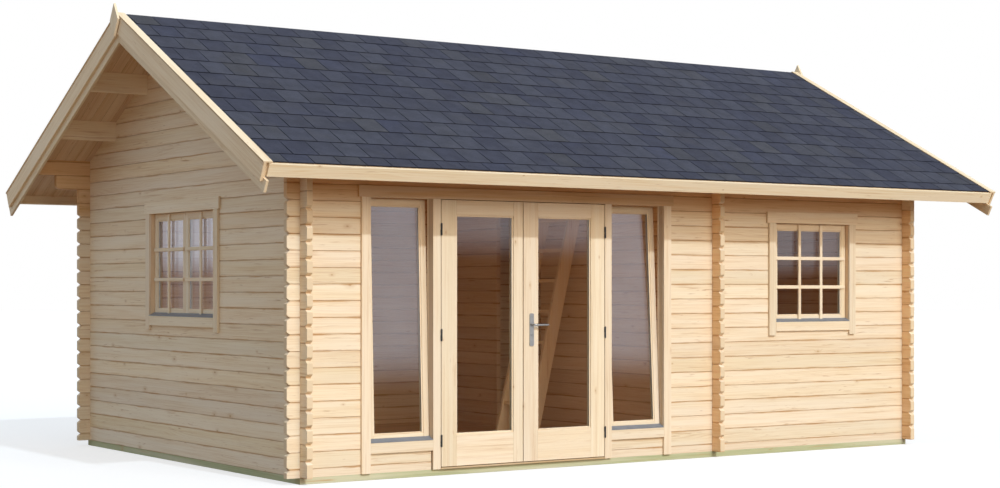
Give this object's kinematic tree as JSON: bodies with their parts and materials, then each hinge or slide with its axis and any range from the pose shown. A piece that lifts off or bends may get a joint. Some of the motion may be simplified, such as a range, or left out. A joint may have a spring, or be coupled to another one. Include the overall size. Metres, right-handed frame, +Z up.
{
  "type": "log cabin",
  "caption": "Gable roofed log cabin with interlocked corner logs, a glazed double door between tall side lights, windows, an inner wall, a loft and a ladder.",
  "frame": {"origin": "centre of the plan, over all roof edges, at ground level", "axes": "+X to the right along the front seen from outside, +Y from the front to the back, +Z up"},
  "size_m": [6.906, 4.8342, 3.449],
  "materials": {
    "logs": "planed spruce, oiled, satin",
    "boards": "planed spruce, oiled, satin",
    "roof_deck": "planed spruce boards, satin",
    "shingles": "mineral surfaced bitumen shingles, matt",
    "foundation": "pressure treated softwood, matt",
    "floor": "planed spruce floor boards, satin",
    "joinery": "planed and sanded spruce joinery, satin",
    "glass": "clear double glazing",
    "drip_metal": "anodised, satin",
    "hinge_metal": "dark zinc plated, satin",
    "handle_metal": "brushed, satin"
  },
  "bodies": {
    "cabin": {"back_roof_deck": "roof_deck", "back_shingles": "shingles", "back_wall": "logs", "back_wall_top": "logs", "barge_backings": "boards", "bargeboards": "boards", "door_frame_head": "joinery", "door_frame_uprights": "joinery", "door_head_board": "boards", "door_inner_casing": "boards", "door_side_boards": "boards", "door_threshold": "joinery", "fascias": "boards", "finials": "boards", "floor_bearers": "foundation", "floor_boards": "floor", "foundation_beams": "foundation", "frame_hinges": "hinge_metal", "front_roof_deck": "roof_deck", "front_shingles": "shingles", "front_wall_left": "logs", "front_wall_middle": "logs", "front_wall_over_window": "logs", "front_wall_right": "logs", "front_wall_sills": "logs", "front_wall_top": "logs", "ladder_stiles": "joinery", "ladder_treads": "joinery", "left_gable": "logs", "left_wall": "logs", "left_wall_sill": "logs", "loft_boards": "floor", "loft_joists": "joinery", "loft_ledger": "joinery", "partition": "logs", "partition_lintel": "logs", "purlins": "logs", "right_gable": "logs", "right_wall": "logs", "side_light_aprons": "boards", "side_light_glass": "glass", "side_light_sashes": "joinery", "side_light_sills": "joinery", "verge_caps": "boards", "window_casings": "boards", "window_drips": "drip_metal", "window_frames": "joinery", "window_glass": "glass", "window_sashes": "joinery"},
    "left_door": {"left_door_leaf": "joinery", "left_door_glass": "glass", "left_door_hinges": "hinge_metal"},
    "right_door": {"right_door_leaf": "joinery", "right_door_glass": "glass", "right_door_hinges": "hinge_metal", "handle_plates": "handle_metal"},
    "door_handle": {"door_handle": "handle_metal"}
  },
  "joints": [
    {"name": "left_door_hinge", "type": "hinge", "parent": "cabin", "child": "left_door", "pos_m": [-1.7845, -1.9265, 1], "axis": [0, 0, -1], "range_deg": [0, 110]},
    {"name": "right_door_hinge", "type": "hinge", "parent": "cabin", "child": "right_door", "pos_m": [-0.3295, -1.9265, 1], "axis": [0, 0, 1], "range_deg": [0, 110]},
    {"name": "handle_turn", "type": "hinge", "parent": "right_door", "child": "door_handle", "pos_m": [-1.003, -1.898, 1.06], "axis": [0, 1, 0], "range_deg": [0, 45], "stiffness_Nm_per_rad": 1.2, "springref_deg": -28.65}
  ]
}
